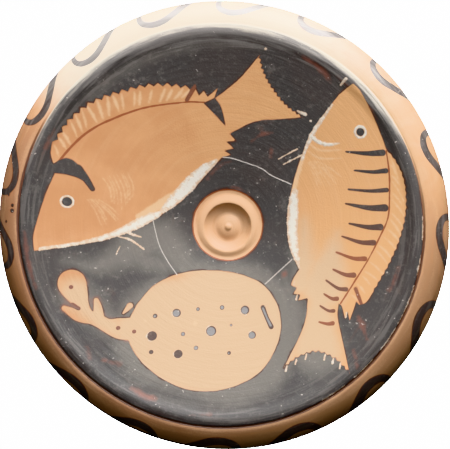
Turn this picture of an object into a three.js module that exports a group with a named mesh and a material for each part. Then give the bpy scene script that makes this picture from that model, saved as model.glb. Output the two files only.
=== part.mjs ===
// A wheel-thrown fish plate of fired clay: a dished floor with a small well at its middle,
// a rounded shoulder that rolls over into a hanging lip, and a flaring foot on a short stem.
// Millimetres, +Z up. The plate stands on its foot ring at Z 0, with the origin under the middle.

import * as THREE from 'three';

const { Vector2, Vector3 } = THREE;

// Overall
const PLATE_HEIGHT = 46; // foot to the top of the shoulder
const RIM_RADIUS = 110; // widest point of the lip
const FLOOR_THICKNESS = 6.8;

// Floor and shoulder
const FLOOR_DROP = 11; // top of the shoulder down to the floor beside the well's collar
const FLOOR_SAG = 0.5; // how far the floor bows below a straight line
const SHOULDER_WIDTH = 9.5; // where the floor starts to roll over, measured in from the groove
const SHOULDER_ROLL = 0.35; // how far the groove lies below the top of the shoulder
const GROOVE_WIDTH = 1.3; // incised line between the shoulder and the lip
const GROOVE_DEPTH = 0.6;

// Lip
const LIP_OVERHANG = 11.2; // groove out to the widest point
const LIP_HEIGHT = 22; // top of the shoulder to the lip's lower edge
const LIP_BELLY = 11.5; // top of the shoulder down to the widest point
const LIP_THICKNESS = 6.2;
const LIP_TUCK = 1.4; // how far the lower edge turns back in
const LIP_INNER_FILLET = 6;

// Well, its ring and the small boss on its bottom, from the middle outwards
const NIPPLE_RADIUS = 1.5;
const NIPPLE_HEIGHT = 0.6;
const BOSS_HEIGHT = 1.4;
const WELL_BOTTOM_RADIUS = 6.6; // where the boss meets the wall
const WELL_WALL_RUN = 5.1; // how far the wall leans out on its way up
const WELL_DEPTH = 3.6; // crest of the ring down to the well's bottom
const UNDER_WELL_THICKNESS = 9;
const RING_CREST_WIDTH = 1.4;
const RING_RISE = 0.3; // crest above the floor beside it
const RING_SLOPE_RUN = 2.3;
const CHANNEL_WIDTH = 0.7;
const CHANNEL_DEPTH = 0.35; // below the floor beside it
const COLLAR_RUN = 1.4; // the channel's outer wall, up to the floor

// Stem and foot
const STEM_RADIUS = 34;
const STEM_FILLET = 13; // how far the stem spreads where it meets the plate
const FOOT_FLARE = 16; // how far the foot spreads beyond the stem
const FOOT_EDGE_HEIGHT = 7;
const FOOT_EDGE_BEVEL = 1.5;
const FOOT_RING_WIDTH = 8;

// What the potter's hands left uneven: the rim is a little oval and stands off the wheel's axis,
// towards -X, and so does the well, towards -Y
const RIM_OVAL = 0.018; // how much longer than wide
const RIM_OVAL_ANGLE = 157; // degrees from +X to the long axis
const RIM_DRIFT = 2.4;
const WELL_DRIFT = 0.9;

// How far a cubic curve's handles reach to the corner that it rounds as a quarter circle
const QUARTER_CIRCLE_HANDLE = 0.5523;

// Fineness of the mesh
const STEPS_AROUND = 72;
const STEPS_PER_CURVE = 5;
const STEPS_PER_FILLET = 3;
const STEPS_ON_ROLL = 6; // from the lip's widest point over to the groove
const STEPS_ON_FLOOR = 4;

// Radii and heights that follow from the sizes above
const grooveRadius = RIM_RADIUS - LIP_OVERHANG;
const shoulderRadius = grooveRadius - SHOULDER_WIDTH;
const wellRadius = WELL_BOTTOM_RADIUS + WELL_WALL_RUN;
const channelRadius = wellRadius + RING_CREST_WIDTH + RING_SLOPE_RUN;
const collarRadius = channelRadius + CHANNEL_WIDTH + COLLAR_RUN;
const footRadius = STEM_RADIUS + FOOT_FLARE;
const floorInnerHeight = PLATE_HEIGHT - FLOOR_DROP;
const crestHeight = floorInnerHeight + RING_RISE;
const wellBottomHeight = crestHeight - WELL_DEPTH;
const floorSlope = (FLOOR_DROP - SHOULDER_ROLL) / (grooveRadius - collarRadius);

// Samples a cubic curve, leaving out its start, which is already in the profile.
function curve(start, startHandle, endHandle, end, steps = STEPS_PER_CURVE) {
  return new THREE.CubicBezierCurve(start, startHandle, endHandle, end).getPoints(steps).slice(1);
}

// Rounds a corner between two points as a quarter of a circle, leaving out its start.
function fillet(start, corner, end) {
  const startHandle = start.clone().lerp(corner, QUARTER_CIRCLE_HANDLE);
  const endHandle = end.clone().lerp(corner, QUARTER_CIRCLE_HANDLE);
  return curve(start, startHandle, endHandle, end, STEPS_PER_FILLET);
}

// Height of the floor's upper face at a radius, as a bowed line from the collar to the shoulder.
function floorHeight(radius) {
  const share = (radius - collarRadius) / (shoulderRadius - collarRadius);
  const bow = 4 * FLOOR_SAG * share * (1 - share);
  return floorInnerHeight + floorSlope * (radius - collarRadius) - bow;
}

// The hollow under the foot, from the axis out to the standing ring.
function footHollow() {
  const top = new Vector2(0, wellBottomHeight - UNDER_WELL_THICKNESS);
  const edge = new Vector2(footRadius - FOOT_RING_WIDTH, 0);
  const steepening = new Vector2(edge.x - FOOT_RING_WIDTH, top.y / 2);
  return [top, ...curve(top, new Vector2(edge.x / 2, top.y), steepening, edge)];
}

// The standing ring, the foot's rolled edge and the stem, up to the underside of the plate.
function footAndStem() {
  const ringEdge = new Vector2(footRadius - FOOT_EDGE_BEVEL, 0);
  const edgeLow = new Vector2(footRadius, FOOT_EDGE_BEVEL);
  const edgeHigh = new Vector2(footRadius, FOOT_EDGE_HEIGHT - FOOT_EDGE_BEVEL);
  const edgeTop = new Vector2(footRadius - FOOT_EDGE_BEVEL, FOOT_EDGE_HEIGHT);
  const stemTopRadius = STEM_RADIUS + STEM_FILLET;
  const stemTop = new Vector2(stemTopRadius, floorHeight(stemTopRadius) - FLOOR_THICKNESS);
  const waist = new Vector2(STEM_RADIUS, (FOOT_EDGE_HEIGHT + stemTop.y) / 2);
  const flareHandle = new Vector2(STEM_RADIUS + FOOT_EDGE_BEVEL, FOOT_EDGE_HEIGHT + FOOT_EDGE_BEVEL);
  const spreadHandle = new Vector2(stemTop.x - STEM_FILLET / 2, stemTop.y - floorSlope * STEM_FILLET / 2);
  return [
    ringEdge,
    edgeLow,
    edgeHigh,
    edgeTop,
    ...curve(edgeTop, flareHandle, new Vector2(STEM_RADIUS, (FOOT_EDGE_HEIGHT + waist.y) / 2), waist),
    ...curve(waist, new Vector2(STEM_RADIUS, (waist.y + stemTop.y) / 2), spreadHandle, stemTop),
  ];
}

// The underside of the floor and the lip, round its lower edge to the groove.
function undersideAndLip() {
  const innerRadius = RIM_RADIUS - LIP_THICKNESS;
  const filletRadius = innerRadius - LIP_INNER_FILLET;
  const underHeight = floorHeight(shoulderRadius) - FLOOR_THICKNESS;
  const under = new Vector2(filletRadius, underHeight + floorSlope * (filletRadius - shoulderRadius));
  const inner = new Vector2(innerRadius, under.y - LIP_INNER_FILLET);
  const edgeHeight = PLATE_HEIGHT - LIP_HEIGHT;
  const edgeRound = LIP_THICKNESS / 2;
  const edgeRadius = RIM_RADIUS - LIP_TUCK - edgeRound;
  const edgeInner = new Vector2(edgeRadius - edgeRound, edgeHeight + edgeRound);
  const edgeFoot = new Vector2(edgeRadius, edgeHeight);
  const edgeOuter = new Vector2(edgeRadius + edgeRound, edgeHeight + edgeRound);
  const widest = new Vector2(RIM_RADIUS, PLATE_HEIGHT - LIP_BELLY);
  const grooveOuter = new Vector2(
    grooveRadius + GROOVE_WIDTH / 2,
    PLATE_HEIGHT - SHOULDER_ROLL - GROOVE_DEPTH / 3,
  );
  const bellyHandle = new Vector2(RIM_RADIUS, widest.y + LIP_BELLY / 2);
  const overhang = RIM_RADIUS - grooveOuter.x;
  const rollHandle = new Vector2(grooveOuter.x + overhang / 2, grooveOuter.y - floorSlope * overhang / 2);
  return [
    under,
    ...fillet(under, new Vector2(innerRadius, under.y), inner),
    edgeInner,
    ...fillet(edgeInner, new Vector2(edgeInner.x, edgeHeight), edgeFoot),
    ...fillet(edgeFoot, new Vector2(edgeOuter.x, edgeHeight), edgeOuter),
    ...fillet(edgeOuter, new Vector2(RIM_RADIUS, (edgeOuter.y + widest.y) / 2), widest),
    ...curve(widest, bellyHandle, rollHandle, grooveOuter, STEPS_ON_ROLL),
  ];
}

// The incised groove, the shoulder and the floor, in to the collar round the well.
function shoulderAndFloor() {
  const grooveBottom = new Vector2(grooveRadius, PLATE_HEIGHT - SHOULDER_ROLL - GROOVE_DEPTH);
  const grooveInner = new Vector2(grooveRadius - GROOVE_WIDTH / 2, PLATE_HEIGHT - SHOULDER_ROLL / 2);
  const floorStart = new Vector2(shoulderRadius, floorHeight(shoulderRadius));
  const handle = SHOULDER_WIDTH / 4;
  const crown = new Vector2(grooveInner.x - handle, PLATE_HEIGHT);
  const crownHandle = new Vector2(crown.x - handle, PLATE_HEIGHT);
  const floorHandle = new Vector2(floorStart.x + handle, floorStart.y + floorSlope * handle);
  const points = [
    grooveBottom,
    grooveInner,
    ...fillet(grooveInner, new Vector2(grooveInner.x - handle / 2, PLATE_HEIGHT), crown),
    ...curve(crown, crownHandle, floorHandle, floorStart),
  ];
  for (let step = 1; step <= STEPS_ON_FLOOR; step += 1) {
    const radius = THREE.MathUtils.lerp(shoulderRadius, collarRadius, step / STEPS_ON_FLOOR);
    points.push(new Vector2(radius, floorHeight(radius)));
  }
  return points;
}

// The channel and ring round the well, the well itself and the boss on its bottom, in to the axis.
function collarAndWell() {
  const channelHeight = floorInnerHeight - CHANNEL_DEPTH;
  const crestInner = new Vector2(wellRadius, crestHeight - RING_RISE / 2);
  const crest = new Vector2(wellRadius + RING_CREST_WIDTH / 2, crestHeight);
  const crestOuter = new Vector2(wellRadius + RING_CREST_WIDTH, crestHeight - RING_RISE / 2);
  const bottom = new Vector2(WELL_BOTTOM_RADIUS, wellBottomHeight);
  const wallHandle = new Vector2(wellRadius - WELL_WALL_RUN / 12, crestInner.y - WELL_DEPTH / 2);
  const bottomHandle = new Vector2(bottom.x + WELL_WALL_RUN / 2, bottom.y + WELL_DEPTH / 8);
  const bossTop = new Vector2(NIPPLE_RADIUS, wellBottomHeight + BOSS_HEIGHT);
  const bossFoot = bottom.clone().lerp(bossTop, 1 / 3);
  const bossHandle = new Vector2((bottom.x + bossTop.x) / 2, bossTop.y);
  const nippleTop = new Vector2(0, bossTop.y + NIPPLE_HEIGHT);
  return [
    new Vector2(channelRadius + CHANNEL_WIDTH, channelHeight),
    new Vector2(channelRadius, channelHeight),
    crestOuter,
    crest,
    crestInner,
    ...curve(crestInner, wallHandle, bottomHandle, bottom),
    ...curve(bottom, bossFoot, bossHandle, bossTop),
    ...fillet(bossTop, new Vector2(bossTop.x, nippleTop.y), nippleTop).slice(1),
  ];
}

// Outside the foot the plate drifts into the rim's oval, and inside the collar into the well.
function warp(geometry) {
  const position = geometry.getAttribute('position');
  const turn = THREE.MathUtils.degToRad(RIM_OVAL_ANGLE);
  const longAxis = new Vector2(Math.cos(turn), Math.sin(turn));
  for (let index = 0; index < position.count; index += 1) {
    const point = new Vector3().fromBufferAttribute(position, index);
    const radius = Math.hypot(point.x, point.y);
    const rimShare = THREE.MathUtils.smoothstep(radius, footRadius, grooveRadius);
    const isWell = point.z > wellBottomHeight - UNDER_WELL_THICKNESS / 2;
    const wellShare = isWell ? 1 - THREE.MathUtils.smoothstep(radius, wellRadius, collarRadius) : 0;
    const stretch = RIM_OVAL * rimShare * (point.x * longAxis.x + point.y * longAxis.y);
    position.setXYZ(
      index,
      point.x + stretch * longAxis.x - RIM_DRIFT * rimShare,
      point.y + stretch * longAxis.y - WELL_DRIFT * wellShare,
      point.z,
    );
  }
}

function thrownPlate() {
  const profile = [
    ...footHollow(),
    ...footAndStem(),
    ...undersideAndLip(),
    ...shoulderAndFloor(),
    ...collarAndWell(),
  ];
  const geometry = new THREE.LatheGeometry(profile, STEPS_AROUND);
  geometry.rotateX(Math.PI / 2);
  warp(geometry);
  geometry.computeBoundingBox();
  const middle = geometry.boundingBox.getCenter(new Vector3());
  geometry.translate(-middle.x, -middle.y, 0);
  geometry.computeVertexNormals();
  const firedClay = new THREE.MeshStandardMaterial({ color: 0xd9a066, roughness: 0.6, metalness: 0 });
  const mesh = new THREE.Mesh(geometry, firedClay);
  mesh.name = 'fish_plate';
  return mesh;
}

const fishPlate = new THREE.Group();
fishPlate.add(thrownPlate());

export default fishPlate;
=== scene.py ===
"""Dresses a fish plate: a wheel-thrown dish of fired clay with three fish painted on its floor.

The dish and its painting are worked out in millimetres about the axis of the potter's wheel,
with X to the right and Y away from the viewer, and set in the shared frame in metres. Each kind
of paint is an attribute on the dish's mesh that holds how deep a point lies inside the painted
shapes, in millimetres, and the finish turns those depths into edges, fringes and worn spots.
"""

import logging
import math
from dataclasses import dataclass, field
from enum import Enum

import bmesh
import bpy
import numpy as np
from mathutils import Matrix, Vector
from mathutils.geometry import interpolate_bezier


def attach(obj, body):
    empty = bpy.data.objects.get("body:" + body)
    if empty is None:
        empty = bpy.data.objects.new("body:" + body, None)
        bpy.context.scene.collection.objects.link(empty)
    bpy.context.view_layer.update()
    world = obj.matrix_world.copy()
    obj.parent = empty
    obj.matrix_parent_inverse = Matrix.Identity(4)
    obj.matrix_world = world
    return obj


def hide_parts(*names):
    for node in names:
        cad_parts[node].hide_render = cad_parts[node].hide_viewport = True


LOG = logging.getLogger("fish_plate")
METRES = 0.001  # in a millimetre
CLAY_NODE = "fish_plate"
REACH = 3.0  # mm from a painted edge to which its depth is worked out
CURVE_SPACING = 1.2  # mm between the points that a painted curve is drawn through
TOOTH = np.array(((0.0, 0.0), (0.36, 0.62), (0.5, 1.0)))  # share of a notch's pitch, and of its depth
TAPER = (0.5, 0.9, 1.0, 0.9, 0.5)  # of a stroke's width, from one end to the other
RAY_SWAY = 0.3  # of the gap between a fin's rays, how far a ray strays
RAY_REACH = (0.86, 1.1)  # of the fin's depth
RAY_HEFT = (0.75, 1.2)  # of the rays' width
RAY_ENDS = (0.5, 0.6)  # of a ray's width, at its root and its tip
EDGE_BAND = 0.75  # of a face's size, how far from a painted edge it is divided
COARSEST = 1.4  # times a shape's cell, the size of a face that is left whole

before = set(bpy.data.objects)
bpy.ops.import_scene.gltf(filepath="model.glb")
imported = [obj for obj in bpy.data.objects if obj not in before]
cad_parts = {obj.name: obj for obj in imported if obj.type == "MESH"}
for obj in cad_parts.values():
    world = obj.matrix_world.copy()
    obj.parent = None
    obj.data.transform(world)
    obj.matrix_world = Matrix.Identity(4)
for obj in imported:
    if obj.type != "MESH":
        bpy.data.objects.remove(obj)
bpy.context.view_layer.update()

Knots = tuple[tuple[float, ...], ...]


def linear(hex_colour: str) -> tuple[float, float, float, float]:
    """Turns an sRGB hex colour into linear red, green, blue and alpha.

    Args:
        hex_colour: The colour as #RRGGBB.

    Returns:
        The four linear channels.
    """
    channels = [int(hex_colour[start : start + 2], 16) / 255 for start in (1, 3, 5)]
    return (*(c / 12.92 if c <= 0.04045 else ((c + 0.055) / 1.055) ** 2.4 for c in channels), 1.0)


def add_node(tree: bpy.types.NodeTree, kind: str, inputs: dict | None = None, **settings) -> bpy.types.Node:
    """Adds a node with its settings, its constant inputs and its links.

    Args:
        tree: The node tree that gains the node.
        kind: The node's type name.
        inputs: What each input takes, by name or number: an output socket is linked.
        **settings: Attributes that are set on the node first.

    Returns:
        The new node.
    """
    node = tree.nodes.new(kind)
    for name, value in settings.items():
        setattr(node, name, value)
    for key, value in (inputs or {}).items():
        if isinstance(value, bpy.types.NodeSocket):
            tree.links.new(value, node.inputs[key])
        else:
            node.inputs[key].default_value = value
    return node


def curve_through(knots: Knots) -> np.ndarray:
    """Draws a smooth open curve through knots.

    Args:
        knots: Points in mm, each with x and y and perhaps a stroke's width.

    Returns:
        The curve's points, one row each, with x, y and width.
    """
    points = [Vector((*knot, 0.0)[:3]) for knot in knots]
    if len(points) < 2:
        return np.array(points)
    reversed_ends = [2 * points[0] - points[1], *points, 2 * points[-1] - points[-2]]
    tangents = [(after - before).normalized() for before, after in zip(reversed_ends, reversed_ends[2:])]
    curve = [points[0]]
    for start, end, leaving, arriving in zip(points, points[1:], tangents, tangents[1:]):
        handle = (end - start).length / 3
        steps = 1 + math.ceil((end - start).length / CURVE_SPACING) if len(points) > 2 else 1
        stretch = interpolate_bezier(start, start + handle * leaving, end - handle * arriving, end, steps + 1)
        curve.extend(stretch[1:])
    return np.array(curve)


def serrated(curve: np.ndarray, pitch: float, depth: float) -> np.ndarray:
    """Cuts pointed notches into the right-hand side of a curve, as between the rays of a fin.

    Args:
        curve: The curve's points.
        pitch: From one notch to the next, in mm.
        depth: How deep a notch goes, in mm.

    Returns:
        The notched curve's points.
    """
    lengths = np.concatenate(([0.0], np.cumsum(np.hypot(*np.diff(curve[:, :2], axis=0).T))))
    teeth = max(1, round(lengths[-1] / pitch))
    shares = (np.arange(teeth)[:, None] + TOOTH[:, 0]).ravel() / teeth
    places = np.append(shares, 1.0) * lengths[-1]
    cuts = np.append(np.tile(TOOTH[:, 1], teeth), 0.0) * depth
    notched = np.stack([np.interp(places, lengths, curve[:, axis]) for axis in range(3)], axis=1)
    ahead = np.gradient(notched[:, :2], axis=0)
    ahead /= np.hypot(*ahead.T)[:, None]
    notched[:, 0] += ahead[:, 1] * cuts
    notched[:, 1] -= ahead[:, 0] * cuts
    return notched


def beside(points: np.ndarray, start: np.ndarray, end: np.ndarray) -> tuple[np.ndarray, np.ndarray]:
    """Finds the place on a straight line that is nearest to each point.

    Args:
        points: Places in mm, one row each.
        start: Where the line starts.
        end: Where it ends.

    Returns:
        The share of the line that the place lies at, and how far the point is from it, in mm.
    """
    along = end[:2] - start[:2]
    offsets = points - start[:2]
    share = np.clip(offsets @ along / max(along @ along, 1e-9), 0, 1)
    return share, np.hypot(*(offsets - share[:, None] * along).T)


class Paint(Enum):
    """What a shape is painted with, by the name of its attribute on the mesh."""

    CLAY = "clay"  # left bare in the ground of dark slip
    SLIP = "slip"
    WHITE = "white"
    PALE = "pale"  # thinned white, nearly clear
    LINE = "line"  # thinned slip, drawn as a hair line
    CRACK = "crack"
    THIN = "thin_slip"  # where the slip lies so thin that it fired red
    BLOOM = "bloom"  # grey film on a dot of slip
    HAZE_AND_SHEEN = "haze_and_sheen"  # a chalky grey film, partly painted sheen that stands for the lamps' reflection, wide and soft


@dataclass(frozen=True)
class Shape:
    """A painted shape.

    Attributes:
        paint: What it is painted with.
        cell: How fine the mesh has to be along its edge, in mm.
        tone: From 0, slip that fired black, to 1, slip so thin that it fired orange-brown.
        body: How thickly it lies. Thick paint keeps a firm edge and flakes less.
    """

    paint: Paint
    cell: float = 0.7
    tone: float = 0.0
    body: float = 1.0

    def edge(self) -> np.ndarray:
        """Returns points along the shape's edge or middle line, for its box."""
        raise NotImplementedError

    def depth(self, points: np.ndarray) -> np.ndarray:
        """Returns how deep each point lies inside the shape, in mm, or how far outside as less than 0."""
        raise NotImplementedError

    def depth_near(self, points: np.ndarray) -> np.ndarray:
        """Works out the depth of points, but only where the shape is within reach.

        Args:
            points: Places in mm, one row each.

        Returns:
            The depths, not below -REACH.
        """
        edge = self.edge()
        spare = REACH + (edge[:, 2:].max() / 2 if edge.shape[1] > 2 else 0)
        low = edge[:, :2].min(axis=0) - spare
        high = edge[:, :2].max(axis=0) + spare
        near = np.all((points > low) & (points < high), axis=1)
        depths = np.full(len(points), -REACH)
        if near.any():
            depths[near] = np.maximum(self.depth(points[near]), -REACH)
        return depths

    def wants_finer(self, points: np.ndarray, sizes: np.ndarray) -> np.ndarray:
        """Says which faces are too coarse for the shape's edge, by their middles and sizes in mm."""
        near = np.abs(self.depth_near(points)) < EDGE_BAND * sizes + self.cell
        return near & (sizes > COARSEST * self.cell)


@dataclass(frozen=True)
class Stroke(Shape):
    """A brush stroke along knots of x, y and width. One knot alone is a dot."""

    knots: Knots = ()

    def edge(self) -> np.ndarray:
        """Returns the stroke's middle line, with its widths."""
        return curve_through(self.knots)

    def depth(self, points: np.ndarray) -> np.ndarray:
        """Returns how deep each point lies inside the stroke, in mm."""
        middle = self.edge()
        deepest = middle[0, 2] / 2 - np.hypot(*(points - middle[0, :2]).T)
        for start, end in zip(middle, middle[1:]):
            share, aside = beside(points, start, end)
            deepest = np.maximum(deepest, (start[2] + share * (end[2] - start[2])) / 2 - aside)
        return deepest


@dataclass(frozen=True)
class Area(Shape):
    """An area inside smooth runs of knots, clockwise, that meet at corners.

    Attributes:
        runs: The knots of each run; a run starts where the last one ended.
        notches: The pitch and depth of the notches cut into a run, by the run's number.
    """

    runs: tuple[Knots, ...] = ()
    notches: dict[int, tuple[float, float]] = field(default_factory=dict)

    def edge(self) -> np.ndarray:
        """Returns the area's outline."""
        pieces = []
        for number, run in enumerate(self.runs):
            knots = (self.runs[number - 1][-1], *run)
            curve = curve_through(knots)
            if number in self.notches:
                curve = serrated(curve, *self.notches[number])
            pieces.append(curve[:-1, :2])
        return np.concatenate(pieces)

    def depth(self, points: np.ndarray) -> np.ndarray:
        """Returns how deep each point lies inside the area, in mm."""
        outline = self.edge()
        nearest = np.full(len(points), np.inf)
        inside = np.zeros(len(points), bool)
        for start, end in zip(outline, np.roll(outline, -1, axis=0)):
            nearest = np.minimum(nearest, beside(points, start, end)[1])
            spans = (start[1] > points[:, 1]) != (end[1] > points[:, 1])
            run, rise = end - start
            crossing = start[0] + run * (points[:, 1] - start[1]) / (rise or 1.0)
            inside ^= spans & (points[:, 0] < crossing)
        return np.where(inside, nearest, -nearest)


@dataclass(frozen=True)
class Ring(Shape):
    """A ring of paint round a centre, between two radii in mm."""

    centre: tuple[float, float] = (0.0, 0.0)
    inner: float = 1.0
    outer: float = 2.0

    def edge(self) -> np.ndarray:
        """Returns the centre, as wide as the ring's outer edge."""
        return np.array([[*self.centre, 2 * self.outer]])

    def depth(self, points: np.ndarray) -> np.ndarray:
        """Returns how deep each point lies inside the ring's paint, in mm."""
        radius = np.hypot(*(points - np.array(self.centre)).T)
        return np.minimum(self.outer - radius, radius - self.inner)


@dataclass(frozen=True)
class Within(Shape):
    """A shape that stops at the edge of an area, or a little past it.

    Attributes:
        shape: What is painted.
        area: What it is painted in.
        spill: How far the paint runs over the area's edge, in mm.
    """

    shape: Shape | None = None
    area: Area | None = None
    spill: float = 0.15

    def edge(self) -> np.ndarray:
        """Returns the inner shape's edge."""
        return self.shape.edge()

    def depth(self, points: np.ndarray) -> np.ndarray:
        """Returns how deep each point lies inside both, in mm."""
        return np.minimum(self.shape.depth(points), self.area.depth(points) + self.spill)


def arc(centre: tuple[float, float], radius: float, start: float, end: float, width: float) -> Knots:
    """Returns the knots of a stroke along part of a circle.

    Args:
        centre: The circle's centre in mm.
        radius: Its radius in mm.
        start: Where the stroke starts, in degrees from +X.
        end: Where it ends.
        width: Its width at the middle; it tapers to both ends.

    Returns:
        The knots.
    """
    knots = []
    for angle, share in zip(np.radians(np.linspace(start, end, len(TAPER))), TAPER):
        x, y = centre[0] + radius * math.cos(angle), centre[1] + radius * math.sin(angle)
        knots.append((x, y, width * share))
    return tuple(knots)


def fan(root: Knots, tips: Knots, count: int, width: float, bend: float = 0.0) -> list[Knots]:
    """Spreads slender strokes from one curve to another, as the rays of a fin.

    Args:
        root: Where the rays start, as a curve's knots.
        tips: Where they end, as a curve's knots.
        count: How many rays there are.
        width: Their width in mm at the middle; they taper to both ends.
        bend: How far their middles bow to the left, in mm.

    Returns:
        Each ray's knots.
    """
    start_line, end_line = curve_through(root)[:, :2], curve_through(tips)[:, :2]
    brush = np.random.default_rng(count)
    rays = []
    for share in np.linspace(0, 1, count):
        ends = []
        for line in (start_line, end_line):
            place = np.clip(share + brush.uniform(-RAY_SWAY, RAY_SWAY) / count, 0, 1) * (len(line) - 1)
            ends.append(np.array([np.interp(place, range(len(line)), line[:, axis]) for axis in (0, 1)]))
        start, end = ends
        end = start + (end - start) * brush.uniform(*RAY_REACH)
        heft = width * brush.uniform(*RAY_HEFT)
        ahead = (end - start) / max(np.hypot(*(end - start)), 1e-9)
        middle = (start + end) / 2 + bend * np.array([-ahead[1], ahead[0]])
        rays.append(((*start, heft * RAY_ENDS[0]), (*middle, heft), (*end, heft * RAY_ENDS[1])))
    return rays


def whitened(area: Area, knots: Knots, cell: float, spill: float = 0.15) -> Within:
    """Returns a stroke of white that stays within an area.

    Args:
        area: Where it may lie.
        knots: The stroke's knots.
        cell: How fine the mesh has to be along its edge, in mm.
        spill: How far it runs over the area's edge, in mm.

    Returns:
        The white.
    """
    return Within(Paint.WHITE, cell, shape=Stroke(Paint.WHITE, knots=knots), area=area, spill=spill)


def painted_eye(centre: tuple[float, float], pupil: float, width: float) -> list[Shape]:
    """Returns a dark pupil in a ring of thick white.

    Args:
        centre: The eye's centre in mm.
        pupil: The pupil's width in mm.
        width: The ring's width in mm.

    Returns:
        Both shapes.
    """
    return [
        Stroke(Paint.SLIP, 0.6, body=2.5, knots=((*centre, pupil),)),
        Ring(Paint.WHITE, 0.4, body=3, centre=centre, inner=pupil / 2, outer=width / 2),
    ]


@dataclass
class Bream:
    """The bream at the left: a deep body left bare, with a dark gill, a pale fin and a white belly."""

    eye: tuple[float, float] = (-76.6, 11.2)
    pupil: float = 4.4
    eye_width: float = 6.6
    ray_count: int = 18
    ray_width: float = 1.9
    tooth_pitch: float = 4.3
    tooth_depth: float = 1.7
    contour_width: float = 0.85
    back: Knots = (
        (-81.6, 28), (-74.7, 36.9), (-66.7, 44.7), (-57.3, 50.5), (-39.6, 57.3), (-19, 60.3), (-10.4, 60.2),
    )
    fin: Knots = (
        (-75.4, 50.4), (-66.1, 58.7), (-57.5, 63.2), (-48.6, 66.2), (-37.7, 69), (-26, 69.4), (-14.5, 67.8),
    )
    belly: Knots = (
        (-10.1, 25.3), (-21.8, 12.8), (-32.6, 5.2), (-45, -1.8), (-60, -7), (-75, -10.2), (-91.2, -13.2),
    )

    def body(self) -> Area:
        """Returns the bare clay of the body and its fins."""
        return Area(
            Paint.CLAY,
            0.5,
            runs=(
                ((-91.6, -6), (-89.5, 3), (-85.8, 15), (-81.6, 24.8)), ((-81.9, 29), (-83, 35), (-82, 40.4)),
                self.fin, ((-12.8, 63.2),), ((-10.2, 65.8),), ((-8.6, 62.8),), ((-3.2, 67.2),),
                ((-5.7, 61.6),), ((8, 71.6), (19.4, 83.3)),
                ((20.4, 76), (24.6, 66.8), (30.6, 59), (38.8, 52.8)), ((27, 51.9), (14, 50.7), (1.2, 44.9)),
                ((4.4, 41.4),), ((-0.4, 41),), ((3.3, 37.6),), ((-1.6, 36.6),), ((1.6, 34.6),), ((-3, 33),),
                self.belly,
            ),
            notches={2: (self.tooth_pitch, self.tooth_depth), 9: (2.5, 1)},
        )

    def shapes(self) -> list[Shape]:
        """Returns the body with everything that is painted on it."""
        body = self.body()
        painted: list[Shape] = [
            body,
            Area(
                Paint.SLIP,
                0.6,
                runs=(
                    ((-76.4, 32.5), (-71.6, 30), (-67.9, 22.9), (-64.8, 17.2)),
                    ((-68, 20.6), (-72.7, 23.3), (-77.9, 24.7), (-83.5, 25)), ((-83.2, 29),),
                ),
            ),
            Stroke(Paint.SLIP, 0.5, knots=((-71.5, 27.4, 4.4), (-68.4, 23.2, 3.4), (-65.2, 17.6, 2.3))),
            Area(
                Paint.SLIP, 0.6,
                runs=(((-5.2, 62.4),), ((-2.6, 58.4), (-0.3, 48.2)), ((-4.4, 52.8), (-10.9, 59.9))),
            ),
            Stroke(Paint.SLIP, 0.5, 0.45, knots=((-14, 68.4, 2.1), (-18.9, 61.2, 1.6))),
            Stroke(
                Paint.LINE,
                0.3,
                knots=tuple(
                    (*knot, self.contour_width * (1.5 - 0.1 * number)) for number, knot in enumerate(self.back)
                ),
            ),
            *painted_eye(self.eye, self.pupil, self.eye_width),
            whitened(
                body,
                ((-5.6, 31.8, 2), (-12.5, 25.8, 6.2), (-20, 18.4, 7.6), (-27, 11.6, 5.4), (-32.6, 6.8, 2.4)),
                0.6,
            ),
            whitened(
                body,
                (
                    (-34, 5.6, 3), (-40, 2.6, 5.4), (-48, -1.6, 5.6), (-58, -5.6, 3.6), (-72, -9.4, 2.2),
                    (-88, -12.6, 2.8),
                ),
                0.6,
                spill=0.5,
            ),
            Stroke(Paint.PALE, 0.7, knots=((-26, 15, 4), (-34, 9.6, 5), (-44, 4.2, 3))),
        ]
        rays = fan(
            ((-79.6, 33.5), (-66.4, 47), (-47, 57.2), (-21, 62.4)),
            ((-81.6, 38.5), (-66.9, 56.8), (-48.4, 64.8), (-16.5, 66.6)),
            self.ray_count,
            self.ray_width,
            bend=-0.15,
        )
        rays += fan(
            ((-60.6, 23.4), (-55, 24.6), (-49, 25.6)), ((-57, 11), (-51, 8.6), (-46.6, 13.6)), 8, 0.8,
            bend=1.3,
        )
        rays += fan(((-67.6, 12.4), (-63, 12.6)), ((-61.4, -0.6), (-52.2, 4.4)), 6, 0.8, bend=0.6)
        painted += [Stroke(Paint.PALE, 0.62, knots=ray) for ray in rays]
        return painted


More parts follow.
